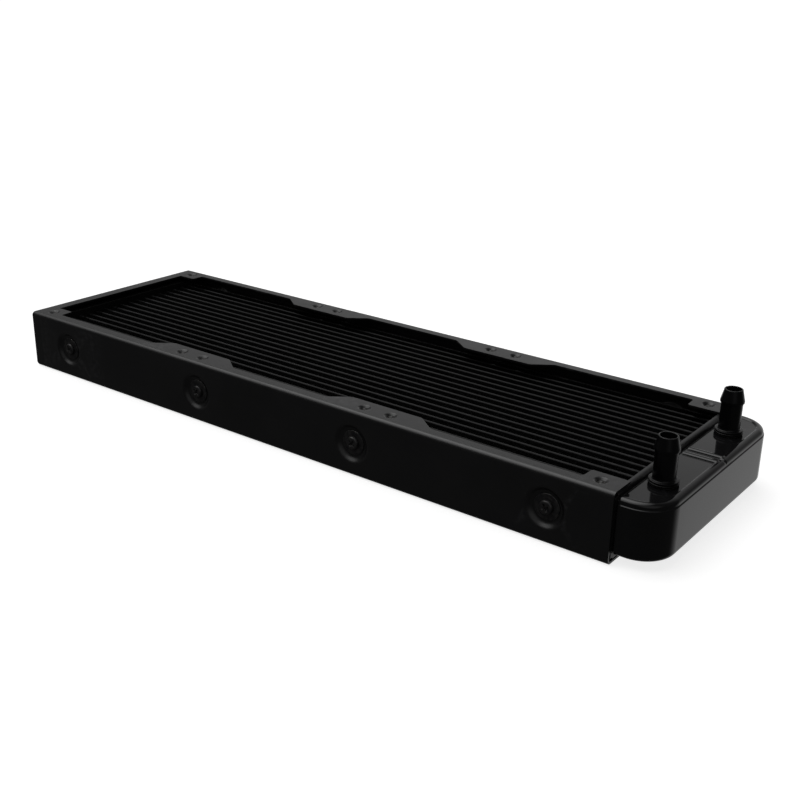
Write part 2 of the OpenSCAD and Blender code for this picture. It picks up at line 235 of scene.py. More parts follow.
def make(name, skin, finish, nodes, core, thickness=0.0, edge=0.0, closed=False, sharp=48,
         inlay=None):
    """Builds a piece from a skin and lets it stand for CAD nodes.

    core is a point behind an open skin, which is thickened towards it. edge is the width of the bevel on
    edges sharper than sharp degrees. inlay is the finish of the faces that the skin numbers 1.
    """
    mesh = bpy.data.meshes.new(name)
    mesh.from_pydata([p * MM for p in skin.points], [], skin.faces)
    mesh.materials.append(finish)
    if inlay:
        mesh.materials.append(inlay)
    mesh.polygons.foreach_set("material_index", skin.finishes)
    bm = bmesh.new()
    bm.from_mesh(mesh)
    bmesh.ops.recalc_face_normals(bm, faces=bm.faces)
    if not closed:
        core = Vector(core) * MM
        facing = sum(f.normal.dot(f.calc_center_median() - core) * f.calc_area() for f in bm.faces)
        if facing < 0:
            bmesh.ops.reverse_faces(bm, faces=bm.faces)
    bm.to_mesh(mesh)
    bm.free()
    mesh.shade_smooth()
    obj = bpy.data.objects.new(name, mesh)
    bpy.context.scene.collection.objects.link(obj)
    if thickness:
        solid = obj.modifiers.new("thickness", "SOLIDIFY")
        solid.thickness = thickness * MM
        solid.offset = -1
        solid.use_even_offset = True
    if edge:
        bevel = obj.modifiers.new("edge", "BEVEL")
        bevel.width = edge * MM
        bevel.segments = 3
        bevel.limit_method = "ANGLE"
        bevel.angle_limit = math.radians(sharp)
    normals = obj.modifiers.new("normals", "WEIGHTED_NORMAL")
    normals.weight = 60
    normals.keep_sharp = True
    settle(obj)
    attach(obj, "root")
    if nodes:
        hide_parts(*nodes)
    return obj


# ---------------------------------------------------------------- materials


class Finish:
    """A procedural material. Noise sizes are given in millimetres."""

    def __init__(self, name):
        self.material = bpy.data.materials.new(name)
        self.material.use_nodes = True
        self.tree = self.material.node_tree
        self.shader = self.tree.nodes["Principled BSDF"]
        self.coords = self.tree.nodes.new("ShaderNodeTexCoord").outputs["Object"]

    def node(self, kind, **values):
        made = self.tree.nodes.new(kind)
        for key, value in values.items():
            setattr(made, key, value)
        return made

    def link(self, a, b):
        self.tree.links.new(a, b)

    def noise(self, size, detail=4.0, stretch=(1, 1, 1), rough=0.55):
        """A noise pattern whose features are about size millimetres."""
        mapping = self.node("ShaderNodeMapping")
        mapping.inputs["Scale"].default_value = stretch
        texture = self.node("ShaderNodeTexNoise")
        texture.inputs["Scale"].default_value = 1.0 / (size * MM)
        texture.inputs["Detail"].default_value = detail
        texture.inputs["Roughness"].default_value = rough
        self.link(self.coords, mapping.inputs["Vector"])
        self.link(mapping.outputs["Vector"], texture.inputs["Vector"])
        return texture.outputs["Fac"]

    def remap(self, value, low, high, from_low=0.3, from_high=0.7):
        span = self.node("ShaderNodeMapRange")
        span.inputs["From Min"].default_value = from_low
        span.inputs["From Max"].default_value = from_high
        span.inputs["To Min"].default_value = low
        span.inputs["To Max"].default_value = high
        self.link(value, span.inputs["Value"])
        return span.outputs["Result"]

    def mix(self, factor, low, high):
        blend = self.node("ShaderNodeMix", data_type="RGBA")
        self.link(factor, blend.inputs["Factor"])
        for socket, value in ((blend.inputs[6], low), (blend.inputs[7], high)):
            if isinstance(value, bpy.types.NodeSocket):
                self.link(value, socket)
            else:
                socket.default_value = (*value, 1)
        return blend.outputs[2]

    def math(self, operation, a, b):
        step = self.node("ShaderNodeMath", operation=operation)
        for socket, value in zip(step.inputs, (a, b)):
            if isinstance(value, bpy.types.NodeSocket):
                self.link(value, socket)
            else:
                socket.default_value = value
        return step.outputs["Value"]

    def worn_edges(self, amount):
        """Where the surface bends outwards sharply, broken up by noise."""
        bend = self.node("ShaderNodeNewGeometry").outputs["Pointiness"]
        edge = self.remap(bend, 0.0, amount, 0.53, 0.62)
        patch = self.remap(self.noise(2.5, 5), 0.0, 1.0, 0.42, 0.62)
        return self.math("MULTIPLY", edge, patch)

    def bump(self, heights):
        """heights is a list of (pattern, depth in millimetres)."""
        normal = None
        for pattern, depth in heights:
            relief = self.node("ShaderNodeBump")
            relief.inputs["Strength"].default_value = 1.0
            relief.inputs["Distance"].default_value = depth * MM
            self.link(pattern, relief.inputs["Height"])
            if normal is not None:
                self.link(normal, relief.inputs["Normal"])
            normal = relief.outputs["Normal"]
        self.link(normal, self.shader.inputs["Normal"])

    def set(self, **values):
        for key, value in values.items():
            self.shader.inputs[key.replace("_", " ")].default_value = value
        return self


def paint(name, dark, light, rough, grain, peel, wear, specular=0.5, coat=0.0):
    """Black paint: colour drift, roughness patches, orange peel and faintly rubbed edges."""
    f = Finish(name)
    drift = f.remap(f.noise(38, 5), 0.0, 1.0, 0.35, 0.65)
    edge = f.worn_edges(wear)
    colour = f.mix(drift, dark, light)
    f.link(f.mix(edge, colour, [c * 5 + 0.02 for c in light]), f.shader.inputs["Base Color"])
    patches = f.remap(f.noise(9, 6), rough[0], rough[1])
    fine = f.remap(f.noise(0.35, 3), -0.03, 0.03)
    f.link(f.math("ADD", f.math("ADD", patches, fine), f.math("MULTIPLY", edge, 0.15)),
           f.shader.inputs["Roughness"])
    f.bump([(f.noise(peel, 2), 0.012), (f.noise(grain, 3), 0.004)])
    f.set(Specular_IOR_Level=specular)
    if coat:
        f.set(Coat_Weight=coat, Coat_Roughness=0.12)
    return f.material


def gloss(name, dark, light, rough, flow, specular=0.5, coat=0.0):
    """Gloss black moulding: flow lines, faint swirls in the polish and fine scuffs."""
    f = Finish(name)
    drift = f.remap(f.noise(22, 5), 0.0, 1.0, 0.35, 0.65)
    edge = f.worn_edges(0.5)
    f.link(f.mix(edge, f.mix(drift, dark, light), (0.03, 0.03, 0.032)), f.shader.inputs["Base Color"])
    lines = f.noise(3.0, 4, stretch=flow)
    scuffs = f.remap(f.noise(1.2, 8, stretch=(1, 0.15, 1)), 0.0, 0.05, 0.6, 0.75)
    base = f.remap(lines, rough[0], rough[1])
    f.link(f.math("ADD", base, scuffs), f.shader.inputs["Roughness"])
    f.bump([(f.noise(14, 2), 0.012), (f.noise(0.8, 3), 0.001)])
    f.set(Specular_IOR_Level=specular)
    if coat:
        f.set(Coat_Weight=coat, Coat_Roughness=0.05)
    return f.material


def rubber(name):
    """Matt black rubber with a fine pitted grain."""
    f = Finish(name)
    f.link(f.mix(f.remap(f.noise(4, 5), 0.0, 1.0), (0.008, 0.008, 0.008), (0.016, 0.016, 0.017)),
           f.shader.inputs["Base Color"])
    f.link(f.remap(f.noise(1.5, 4), 0.6, 0.8), f.shader.inputs["Roughness"])
    f.bump([(f.noise(0.3, 4), 0.01)])
    return f.material


def blackened_steel(name):
    """Black oxide on steel: metallic, blotchy, with brighter rubbed edges."""
    f = Finish(name)
    blotch = f.remap(f.noise(1.8, 6), 0.0, 1.0, 0.35, 0.65)
    edge = f.worn_edges(0.9)
    colour = f.mix(blotch, (0.035, 0.035, 0.038), (0.075, 0.073, 0.072))
    f.link(f.mix(edge, colour, (0.3, 0.29, 0.28)), f.shader.inputs["Base Color"])
    f.link(f.remap(f.noise(0.9, 5), 0.28, 0.5), f.shader.inputs["Roughness"])
    f.bump([(f.noise(0.25, 4), 0.004)])
    f.set(Metallic=0.75)
    return f.material


def bare_metal(name):
    """Freshly cut thread: bright metal with turned lines and a little dirt."""
    f = Finish(name)
    dirt = f.remap(f.noise(0.7, 5), 0.0, 1.0, 0.4, 0.7)
    f.link(f.mix(dirt, (0.5, 0.5, 0.49), (0.16, 0.155, 0.15)), f.shader.inputs["Base Color"])
    f.link(f.remap(f.noise(0.4, 4, stretch=(1, 1, 4)), 0.22, 0.42), f.shader.inputs["Roughness"])
    f.bump([(f.noise(0.15, 3, stretch=(1, 1, 4)), 0.004)])
    f.set(Metallic=1.0)
    return f.material


def dipped_core(name, dark, light, rough, stretch, specular):
    """Thin dipped paint on rolled aluminium: lengthwise streaks and lighter worn spots."""
    f = Finish(name)
    streak = f.remap(f.noise(2.2, 6, stretch=stretch), 0.0, 1.0, 0.35, 0.65)
    edge = f.worn_edges(0.6)
    f.link(f.mix(edge, f.mix(streak, dark, light), [c * 4 for c in light]), f.shader.inputs["Base Color"])
    f.link(f.remap(f.noise(1.2, 5, stretch=stretch), rough[0], rough[1]), f.shader.inputs["Roughness"])
    f.bump([(f.noise(0.6, 4, stretch=stretch), 0.006)])
    f.set(Specular_IOR_Level=specular)
    return f.material


frame_paint = paint("frame_paint", (0.006, 0.006, 0.0065), (0.010, 0.010, 0.0105), (0.3, 0.38),
                    0.25, 1.1, 0.35, specular=0.55)
header_paint = paint("header_paint", (0.007, 0.007, 0.0075), (0.012, 0.012, 0.0125), (0.34, 0.44),
                     0.25, 0.9, 0.4, specular=0.45)
# painted shade: a darker, duller copy of the header paint for the return header and the return tank, which
# sit in shade at the return end
shade_darkened_paint = paint("shade_darkened_paint", (0.003, 0.003, 0.003), (0.006, 0.006, 0.006), (0.5, 0.65),
                     0.25, 0.8, 0.2, specular=0.2)
cut_thread = bare_metal("cut_thread")
core_plate_paint = paint("core_plate_paint", (0.005, 0.005, 0.005), (0.009, 0.009, 0.009), (0.4, 0.5),
                         0.2, 0.8, 0.3)
tank_gloss = gloss("tank_gloss", (0.005, 0.005, 0.0055), (0.008, 0.008, 0.0085), (0.06, 0.1),
                   (0.4, 0.12, 1.0), specular=0.4, coat=0.05)
barb_gloss = gloss("barb_gloss", (0.0015, 0.0015, 0.0018), (0.0035, 0.0035, 0.004), (0.2, 0.28),
                   (1.0, 1.0, 0.15), specular=0.28)
gasket_rubber = rubber("gasket_rubber")
seal_rubber = rubber("seal_rubber")
screw_black = blackened_steel("screw_black")
washer_black = blackened_steel("washer_black")
tube_paint = dipped_core("tube_paint", (0.002, 0.002, 0.0022), (0.006, 0.006, 0.0063), (0.2, 0.34),
                         (0.05, 1, 1), 0.1)
fin_paint = dipped_core("fin_paint", (0.001, 0.001, 0.001), (0.003, 0.003, 0.0031), (0.68, 0.84),
                        (1, 1, 0.2), 0.12)

# ---------------------------------------------------------------- sheet frame

# the fold between a flange and the face: how far inwards and how far from the flange's plane
FOLD = [(FOLD_R * (1 - math.cos(math.radians(a))), FOLD_R * (1 - math.sin(math.radians(a))))
        for a in [90 - 90 * i / FOLD_STEPS for i in range(FOLD_STEPS + 1)]]


def flange_edge(x_from, x_to):
    """The flange's inner edge from its port end back to the cover, as (x, distance from the face)."""
    gaps = sorted({m["pos_m"][0] / MM for m in FAN_MOUNTS}, reverse=True)
    corner = gaps[0] + HOLE_REACH - PAST_HOLE
    line = [(x_from, WIDE), (corner, WIDE), (corner - CORNER_SLOPE, NARROW)]
    for near, far in zip(gaps, gaps[1:]):
        middle = (near + far) / 2
        line += [(middle + TAB_HALF + TAB_SLOPE, NARROW), (middle + TAB_HALF, WIDE),
                 (middle - TAB_HALF, WIDE), (middle - TAB_HALF - TAB_SLOPE, NARROW)]
    corner = gaps[-1] - HOLE_REACH + PAST_HOLE
    line += [(corner + CORNER_SLOPE, NARROW), (corner, WIDE), (x_to, WIDE)]
    return rounded(line, TAB_ROUND)


def hole_rings():
    """Radius and depth of the rings down a fan screw hole, with a coarse thread at its end."""
    rings = list(HOLE_PROFILE)
    depth = rings[-1][1]
    for i in range(2 * THREAD_TURNS):
        depth += THREAD_PITCH / 2
        rings.append((THREAD_R[i % 2], depth))
    return rings


def side_rail(name, side):
    """One long rail. side is -1 for the front rail and 1 for the rear one."""
    skin = Skin()
    xs = spread(rail_lo.x, rail_hi.x, STATION)
    holes = [(m["pos_m"][0] / MM + s * m["dims"]["spacing_x_mm"] / 2,
              FACE_Y - m["dims"]["spacing_y_mm"] / 2) for m in FAN_MOUNTS for s in (-1, 1)]
    for plane, down in ((FRAME_H, -1), (0.0, 1)):
        outline = [(x, FOLD_R) for x in xs] + flange_edge(rail_hi.x, rail_lo.x)
        loops = [circle(h, HOLE_PROFILE[0][0], HOLE_STEPS) for h in holes]
        skin.region(outline, loops, lambda x, d: (x, side * (FACE_Y - d), plane))
        for h in holes:
            lip = len(HOLE_PROFILE)
            for rings, finish in ((hole_rings()[:lip], 0), (hole_rings()[lip - 1:], 1)):
                skin.finish = finish
                skin.rows([[(x, side * (FACE_Y - d), plane + down * depth)
                            for x, d in circle(h, r, HOLE_STEPS)] for r, depth in rings], closed=True)
            skin.finish = 0
        skin.rows([[(x, side * (FACE_Y - d), plane + down * drop) for x in xs] for d, drop in FOLD])
    web = [(x, FOLD_R) for x in xs] + [(x, FRAME_H - FOLD_R) for x in reversed(xs)]
    dimples = [circle((x, MID_Z), DIMPLE_PROFILE[0][0], HOLE_STEPS) for x in DIMPLE_XS]
    skin.region(web, dimples, lambda x, z: (x, side * FACE_Y, z))
    for x0 in DIMPLE_XS:
        skin.rows([[(x, side * (FACE_Y - depth), z) for x, z in circle((x0, MID_Z), r, HOLE_STEPS)]
                   for r, depth in DIMPLE_PROFILE], closed=True)
    core = (0, side * (FACE_Y - WIDE), MID_Z)
    return make(name, skin, frame_paint, [name], core, thickness=SHEET, edge=0.16,
                inlay=cut_thread)


def end_cover():
    """The pressed cap at the return end: one bent strip round three sides, with flanges."""
    skin = Skin()
    x_in, x_fold = cover_hi.x, cover_lo.x + FOLD_R
    y_fold = FACE_Y - FOLD_R
    path = [(x, -FACE_Y, 0, -1) for x in (x_in, x_fold)]
    for start, end, y in ((270, 180, -y_fold), (180, 90, y_fold)):
        turn = arc((0, 0), 1, start, end, FOLD_STEPS)
        path += [(x_fold + FOLD_R * nx, y + FOLD_R * ny, nx, ny) for nx, ny in turn]
        if y < 0:
            path += [(cover_lo.x, v, -1, 0) for v in spread(-y_fold, y_fold, STATION)[1:-1]]
    path += [(x, FACE_Y, 0, 1) for x in (x_fold, x_in)]
    section = [(d, FRAME_H - drop) for d, drop in FOLD] + [(d, drop) for d, drop in reversed(FOLD)]
    skin.rows([[(x - nx * d, y - ny * d, z) for x, y, nx, ny in path] for d, z in section])
    ys = spread(-y_fold, y_fold, STATION)
    for plane in (FRAME_H, 0.0):
        outline = [(x_fold, y) for y in ys] + [(x_in, y_fold), (x_in, -y_fold)]
        skin.region(outline, [], lambda x, y: (x, y, plane))
    return make("return_end_cover", skin, frame_paint, ["return_end_cover"],
                (cover_hi.x, 0, MID_Z), thickness=SHEET, edge=0.1)


# ---------------------------------------------------------------- header plates and return tank

# how far behind a flat plate the point lies that it is thickened towards
BEHIND = 5


def tube_slots():
    """The flat tubes' outlines where they pass through a header plate."""
    loops = []
    for name in TUBES:
        lo, hi = box(name)
        loops.append(stadium(hi.y - lo.y, hi.z - lo.z, (lo.y + hi.y) / 2, (lo.z + hi.z) / 2))
    return loops


def port_header():
    """Cross plate with a lip folded over at the top and at the bottom."""
    skin = Skin()
    thick, bend, corner = 1.2, 1.6, 2.0
    bend_steps = 6
    half = header_hi.y
    ys = spread(-half + corner, half - corner, STATION)
    for plane, down in ((header_hi.z, -1), (header_lo.z, 1)):
        turn = arc((header_hi.x - bend, plane + down * bend), bend, -90 * down, 0, bend_steps)
        line = [(header_lo.x, plane)] + turn
        skin.rows([[(x, y, z) for y in ys] for x, z in line])
    low, high = header_lo.z + bend, header_hi.z - bend
    right = rounded([(half - corner, low), (half, low), (half, high), (half - corner, high)], corner)
    left = [(-y, z) for y, z in reversed(right)]
    outline = [(y, low) for y in ys[:-1]] + right + [(y, high) for y in reversed(ys[1:-1])] + left[:-1]
    skin.region(outline, tube_slots(), lambda y, z: (header_hi.x, y, z))
    return make("port_header", skin, header_paint, ["port_header"],
                (header_lo.x, 0, MID_Z), thickness=thick, edge=0.12)


def plate_ring(y, lo, hi, radius):
    """Outline of a cross plate in Y and Z, with rounded corners."""
    return rounded([(0, lo), (y, lo), (y, hi), (-y, hi), (-y, lo), (0, lo)], radius)[:-1]


def return_header():
    """Flat cross plate at the return end."""
    skin = Skin()
    corner = 2.5
    ring = plate_ring(return_header_hi.y, return_header_lo.z, return_header_hi.z, corner)
    skin.region(ring, tube_slots(), lambda v, z: (return_header_hi.x, v, z))
    # the darker paint of the return header is painted shade
    return make("return_header", skin, shade_darkened_paint, ["return_header"],
                (return_header_lo.x - BEHIND, 0, MID_Z),
                thickness=return_header_hi.x - return_header_lo.x, edge=0.1)


def return_tank():
    """Shallow pressed pan behind the return header."""
    skin = Skin()
    y, lo, hi = return_tank_hi.y, return_tank_lo.z, return_tank_hi.z
    mouth, back = return_tank_hi.x, return_tank_lo.x
    wall, soft, corner = 1.0, 2.4, 3.0

    def ring(inset, x):
        return [(x, v, z) for v, z in plate_ring(y - inset, lo + inset, hi - inset, corner)]

    turn = [(soft * (1 - math.cos(a)), back + soft * (1 - math.sin(a))) for a in SIX_STEPS]
    rings = [ring(0, mouth)] + [ring(inset, x) for inset, x in turn]
    skin.rows(rings, closed=True)
    skin.region([(v, z) for _, v, z in rings[-1]], [], lambda v, z: (rings[-1][0][0], v, z))
    # the darker paint of the return tank is painted shade
    return make("return_tank", skin, shade_darkened_paint, ["return_tank"],
                (mouth, 0, MID_Z), thickness=wall, edge=0.1)


# ---------------------------------------------------------------- core

CORE_STATION = 30
TUBE_WALL = 0.3

# fins: length of one whole fold, sheet, radius of the crests at the middle of the sheet
FOLD_PITCH = 1.95
FIN_SHEET = 0.11
CREST_R = 0.42
CREST_STEPS = 6


def flat_tube(node):
    """A hollow flat tube with round noses."""
    skin = Skin()
    lo, hi = box(node)
    thick, wide, wall = hi.y - lo.y, hi.z - lo.z, TUBE_WALL
    y, z = (lo.y + hi.y) / 2, (lo.z + hi.z) / 2
    outer, inner = stadium(thick, wide, y, z), stadium(thick - 2 * wall, wide - 2 * wall, y, z)
    xs = spread(lo.x, hi.x, CORE_STATION)
    outside = [[(x, v, w) for v, w in outer] for x in xs]
    inward = [[(x, v, w) for v, w in inner] for x in xs]
    skin.rows([inward[0]] + outside + list(reversed(inward)), closed=True)
    return make(node, skin, tube_paint, [node], (0, y, z), closed=True)


def fin_mesh(length, height, depth):
    """One corrugated strip, centred on the origin, folded to and fro across its height."""
    skin = Skin()
    folds = int(length / FOLD_PITCH) * 2
    start = -folds * FOLD_PITCH / 4
    sides = ([], [])
    for k in range(folds + 1):
        way = 1 if k % 2 else -1
        middle = (start + k * FOLD_PITCH / 2, way * (height / 2 - CREST_R - FIN_SHEET / 2))
        for line, grow in zip(sides, (1, -1)):
            r = CREST_R + way * grow * FIN_SHEET / 2
            line += [(x, y) for x, y in arc(middle, r, 180 * way, 0, CREST_STEPS)]
    upper, lower = sides
    loop = upper + list(reversed(lower))
    top = [(x, y, depth / 2) for x, y in loop]
    bottom = [(x, y, -depth / 2) for x, y in loop]
    skin.rows([bottom, top], closed=True)
    for z in (depth / 2, -depth / 2):
        skin.rows([[(x, y, z) for x, y in upper], [(x, y, z) for x, y in lower]])
    return skin


def fin_strips():
    """Every fin strip shares one mesh and stands in its own CAD node's place."""
    first = None
    size = fin_hi - fin_lo
    for node in FINS:
        lo, hi = box(node)
        if first is None:
            skin = fin_mesh(size.x, size.y, size.z)
            strip = make(node, skin, fin_paint, [], (0, 0, 0), closed=True)
            first = strip.data
        else:
            strip = bpy.data.objects.new(node, first)
            bpy.context.scene.collection.objects.link(strip)
        strip.location = (lo + hi) / 2 * MM
        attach(strip, "root")
        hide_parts(node)


def core_plate(node):
    """Flat bar along the outer fins."""
    skin = Skin()
    lo, hi = box(node)
    xs = spread(lo.x, hi.x, CORE_STATION)
    loop = [(lo.y, lo.z), (hi.y, lo.z), (hi.y, hi.z), (lo.y, hi.z)]
    skin.rows([[(x, y, z) for y, z in loop] for x in xs], closed=True)
    for x in (lo.x, hi.x):
        skin.face([(x, y, z) for y, z in loop])
    return make(node, skin, core_plate_paint, [node], (0, 0, 0), edge=0.2,
                closed=True)


# ---------------------------------------------------------------- port tank

TANK_CORNER_R = 15.0
TANK_WALL = 2.0
PORT_R = 4.6
ARC_STEPS = 20

# radius of the lower edge
EDGE_R = 2.6

# step at the top of the wall: how far below the rim, how far inwards and how tall
STEP_DROP = 2.75
STEP_IN = 0.45
STEP_H = 0.5

# rim: size of its outer curve (inwards, down), where its crest ends, and the slope down to the panels
CROWN = (2.3, 1.9)
CREST_IN = 3.3
RIM_IN = 4.2
RIM_DROP = 0.6
RIM_STEP = 0.15
PANEL_Z = tank_hi.z - RIM_DROP

# the pair of ridges: the middle of the pair, each one's distance from it, half width and height
RIDGE_MID = 3.0
RIDGE_Y = 2.9
RIDGE_HALF = 1.7
RIDGE_H = 0.95

# where the ridges rise: distance from the gasket's face, and inwards from the wall
RIDGE_RISE = (0.2, 1.2)
RIDGE_IN = 2.4

# notch in the rim between the ridges: half width, the share of it that is flat, depth, and how far below
# the rim's top the depth is reached
NOTCH_HALF = 1.1
NOTCH_FLAT = 0.3
NOTCH_DEPTH = 0.5
NOTCH_TOP = 0.3

# half width of the finely divided band that holds the ridges, and how far apart the tank's points stand
BAND = 6.0
BAND_NEAR = RIDGE_MID - BAND
BAND_FAR = RIDGE_MID + BAND
FINE = 0.2
COARSE = 7
PANEL_STEP = 1.5
TOUCH = 1e-6


def smooth(value, low, high):
    """0 below low, 1 above high, with a soft rise between."""
    t = min(1.0, max(0.0, (value - low) / (high - low)))
    return t * t * (3 - 2 * t)


def tank_path(inset):
    """The tank's outline in plan, from the gasket along the front, end and rear sides."""
    x1, half = tank_hi.x, tank_hi.y
    corner_x, corner_y = x1 - TANK_CORNER_R, half - TANK_CORNER_R
    r = TANK_CORNER_R - inset
    ys = spread(-corner_y, BAND_NEAR, COARSE)[1:]
    ys += spread(BAND_NEAR, BAND_FAR, FINE)[1:-1]
    ys += spread(BAND_FAR, corner_y, COARSE)[:-1]
    return ([(tank_lo.x, -half + inset)]
            + arc((corner_x, -corner_y), r, -90, 0, ARC_STEPS)
            + [(x1 - inset, y) for y in ys]
            + arc((corner_x, corner_y), r, 0, 90, ARC_STEPS)
            + [(tank_lo.x, half - inset)])


def ridge(y):
    """Height of the two ridges above the top panels."""
    across = (abs(y - RIDGE_MID) - RIDGE_Y) / RIDGE_HALF
    return RIDGE_H * math.sqrt(1 - across * across) if abs(across) < 1 else 0.0


def tank_top_z(x, y, inset, base):
    """Height of the tank's upper surface with its ridges and the notch between them."""
    if abs(y - RIDGE_MID) >= BAND:
        return base
    rise = smooth(x, tank_lo.x + RIDGE_RISE[0], tank_lo.x + RIDGE_RISE[1]) * smooth(inset, RIDGE_IN, CREST_IN)
    z = max(base, PANEL_Z + ridge(y) * rise) if rise > 0 else base
    cut = 1 - smooth(abs(y - RIDGE_MID), NOTCH_HALF * NOTCH_FLAT, NOTCH_HALF)
    on_rim = smooth(base, tank_hi.z - CROWN[1], tank_hi.z - NOTCH_TOP)
    return z - NOTCH_DEPTH * cut * on_rim * (1 - smooth(inset, CREST_IN, RIM_IN))


def tank_rings():
    """(inset, height) of the rings from the underside, up the wall and over the rim."""
    quarter = [math.radians(90 * i / 8) for i in range(9)]
    rings = [(EDGE_R * (1 - math.sin(a)), tank_lo.z + EDGE_R * (1 - math.cos(a))) for a in quarter]
    step = tank_hi.z - STEP_DROP
    rings += [(0.0, MID_Z), (0.0, step - STEP_H)]
    rings += [(STEP_IN * smooth(t, 0, 1), step - STEP_H / 2 + STEP_H * t)
              for t in (0.0, 0.2, 0.4, 0.6, 0.8, 1.0)]
    rings += [(STEP_IN + CROWN[0] * (1 - math.sin(a)), tank_hi.z - CROWN[1] * (1 - math.cos(a)))
              for a in reversed(quarter)]
    slope = (CREST_IN, RIM_IN)
    rings += [(inset, tank_hi.z - RIM_DROP * smooth(inset, *slope)) for inset in spread(*slope, RIM_STEP)]
    return rings


def port_tank():
    """Hollow tank, open towards the gasket, with sunken top panels, a rim and two ridges."""
    skin = Skin()
    rings = []
    for inset, z in tank_rings():
        upper = z > MID_Z
        rings.append([(x, y, tank_top_z(x, y, inset, z) if upper else z) for x, y in tank_path(inset)])
    skin.rows(rings)
    inner_edge = rings[-1]
    front = [p for p in inner_edge if p[1] <= BAND_NEAR + TOUCH]
    rear = [p for p in inner_edge if p[1] >= BAND_FAR - TOUCH]
    x_fine, x_end = tank_lo.x + 2, tank_hi.x - RIM_IN
    xs = spread(tank_lo.x, x_fine, FINE) + spread(x_fine, x_end, PANEL_STEP)[1:]
    # band across the middle, which carries the ridges
    ys = [p[1] for p in inner_edge if BAND_NEAR - TOUCH <= p[1] <= BAND_FAR + TOUCH]
    band = [[(x, y, tank_top_z(x, y, RIM_IN, PANEL_Z)) for x in xs] for y in ys]
    skin.rows(band)
    # top panels with the ports
    port_x, port_y = (barb_lo.x + barb_hi.x) / 2, (barb_lo.y + barb_hi.y) / 2
    ports = {s: circle((port_x, s * port_y), PORT_R, HOLE_STEPS) for s in (-1, 1)}
    for s, line in ((-1, front), (1, rear)):
        edge = [(x, BAND_NEAR if s < 0 else BAND_FAR) for x in xs]
        outline = [(p[0], p[1]) for p in line]
        outline += list(reversed(edge))[1:] if s < 0 else edge[:-1]
        skin.region(outline, [ports[s]], lambda x, y: (x, y, PANEL_Z))
    # underside
    skin.region([(p[0], p[1]) for p in rings[0]], [], lambda x, y: (x, y, tank_lo.z))
    # inside
    top_in, low_in = PANEL_Z - TANK_WALL, tank_lo.z + TANK_WALL
    hollow = tank_path(TANK_WALL + STEP_IN)
    skin.rows([[(x, y, z) for x, y in hollow] for z in (low_in, top_in)])
    skin.region(hollow, [], lambda x, y: (x, y, low_in))
    skin.region(hollow, list(ports.values()), lambda x, y: (x, y, top_in))
    for loop in ports.values():
        skin.rows([[(x, y, z) for x, y in loop] for z in (PANEL_Z, top_in)], closed=True)
    # face against the gasket
    front_side = [(p[0][1], p[0][2]) for p in rings]
    rear_side = [(p[-1][1], p[-1][2]) for p in rings]
    top_line = [(row[0][1], row[0][2]) for row in band]
    outer = front_side + top_line + list(reversed(rear_side))
    half = hollow[-1][1]
    inner = [(-half, low_in), (half, low_in), (half, top_in), (-half, top_in)]
    skin.region(outer, [inner], lambda y, z: (tank_lo.x, y, z))
    return make("port_tank", skin, tank_gloss, ["port_tank"], (0, 0, 0), closed=True,
                edge=0.15, sharp=55)


def tank_gasket():
    """Rubber gasket with softened edges, and windows for the tube ends."""
    skin = Skin()
    lo, hi = gasket_lo, gasket_hi
    bar, wall_y, window, corner = 0.8, 53.0, 10.0, 2.0
    ring = plate_ring(hi.y, lo.z, hi.z, corner)
    windows = [[(s * bar, MID_Z - window), (s * wall_y, MID_Z - window), (s * wall_y, MID_Z + window),
                (s * bar, MID_Z + window)] for s in (-1, 1)]
    skin.region(ring, windows, lambda y, z: (hi.x, y, z))
    return make("tank_gasket", skin, gasket_rubber, ["tank_gasket"],
                (lo.x - BEHIND, 0, MID_Z), thickness=hi.x - lo.x, edge=0.2)


# ---------------------------------------------------------------- hose barbs

# barrel, barb and its narrow tip, bore, and the foot under the collar
BARREL_R = 4.75
BARB_R = 5.3
TIP_R = 4.0
BORE_R = 3.4
BORE_TAPER = 0.05
FOOT_R = 4.5
CONE_L = 5.2
LAND_L = 1.0

# collar: radius, thickness, and (how far inside the radius, how far above the seat) round its groove
COLLAR_R = 6.3
COLLAR_T = 1.9
COLLAR_GROOVE = [(0.0, 0.8), (0.35, 0.95), (0.35, 1.1), (0.1, 1.25), (0.1, COLLAR_T)]

# fillet between the collar and the barrel: how far outwards and how far up
FILLET = (0.25, 0.8)
SOFT_R = 0.28


def barb_profile():
    """(radius, height) round a barb, up its outside and down its bore, with softened corners."""
    seat, tip = seal_hi.z, barb_hi.z
    land = tip - CONE_L - LAND_L
    collar = seat + COLLAR_T
    bore_foot = (BORE_R - BORE_TAPER, barb_lo.z)
    outline = [bore_foot, (FOOT_R, barb_lo.z), (FOOT_R, seat), (COLLAR_R, seat)]
    outline += [(COLLAR_R - inside_by, seat + up) for inside_by, up in COLLAR_GROOVE]
    outline += [(BARREL_R + FILLET[0], collar), (BARREL_R, collar + FILLET[1]), (BARREL_R, land),
                (BARB_R, land), (BARB_R, land + LAND_L), (TIP_R, tip), (BORE_R, tip), bore_foot]
    return rounded(outline, SOFT_R, 4)


def hose_barb(node):
    """A turned hose nipple with one barb."""
    lo, hi = box(node)
    x, y = (lo.x + hi.x) / 2, (lo.y + hi.y) / 2
    skin = Skin()
    skin.revolve(barb_profile(), lambda u, v, h: (x + u, y + v, h), 96)
    return make(node, skin, barb_gloss, [node], (x, y, 0), closed=True, sharp=60)


def barb_seal(node):
    """Ring with a rounded outside under a barb's collar."""
    lo, hi = box(node)
    x, y = (lo.x + hi.x) / 2, (lo.y + hi.y) / 2
    r = (hi.x - lo.x) / 2
    middle, soft = (lo.z + hi.z) / 2, (hi.z - lo.z) / 2
    profile = arc((r - soft, middle), soft, -90, 90, 6) + [(FOOT_R, hi.z), (FOOT_R, lo.z)]
    profile.append(profile[0])
    skin = Skin()
    skin.revolve(profile, lambda u, v, h: (x + u, y + v, h), 64)
    return make(node, skin, seal_rubber, [node], (x, y, 0), closed=True)


